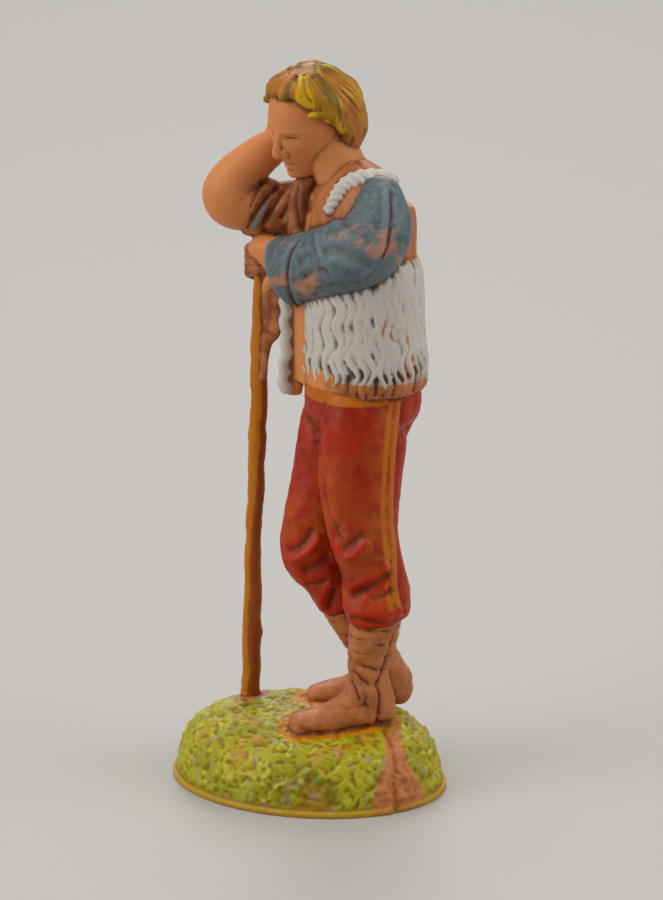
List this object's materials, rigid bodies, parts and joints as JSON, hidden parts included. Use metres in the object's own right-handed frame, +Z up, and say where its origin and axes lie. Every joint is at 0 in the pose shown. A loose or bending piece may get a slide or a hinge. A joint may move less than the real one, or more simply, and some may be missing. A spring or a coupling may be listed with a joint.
{
  "type": "shepherd figurine",
  "caption": "Hand-painted moulded crib figurine: a young shepherd in a fleece waistcoat leans on a tall staff, head propped on one hand, standing on an oval turf mound.",
  "frame": {"origin": "centre of the bounding box at the height of the mound's flat underside", "axes": "+Z is up from the mound towards the head; -Y is the front, square to the plane where the mould parts; +X is to the right of someone who looks at the front, so the staff is on the -X side"},
  "size_m": [0.038, 0.0322, 0.0987],
  "materials": {
    "painted_casting": "bare flesh-coloured moulded plastic with a satin sheen, hand-painted in red, grey-blue, white, lime green and ochre, with a dark brown wash rubbed into the hollows"
  },
  "bodies": {
    "root": {"shepherd_figurine": "painted_casting"}
  },
  "joints": []
}
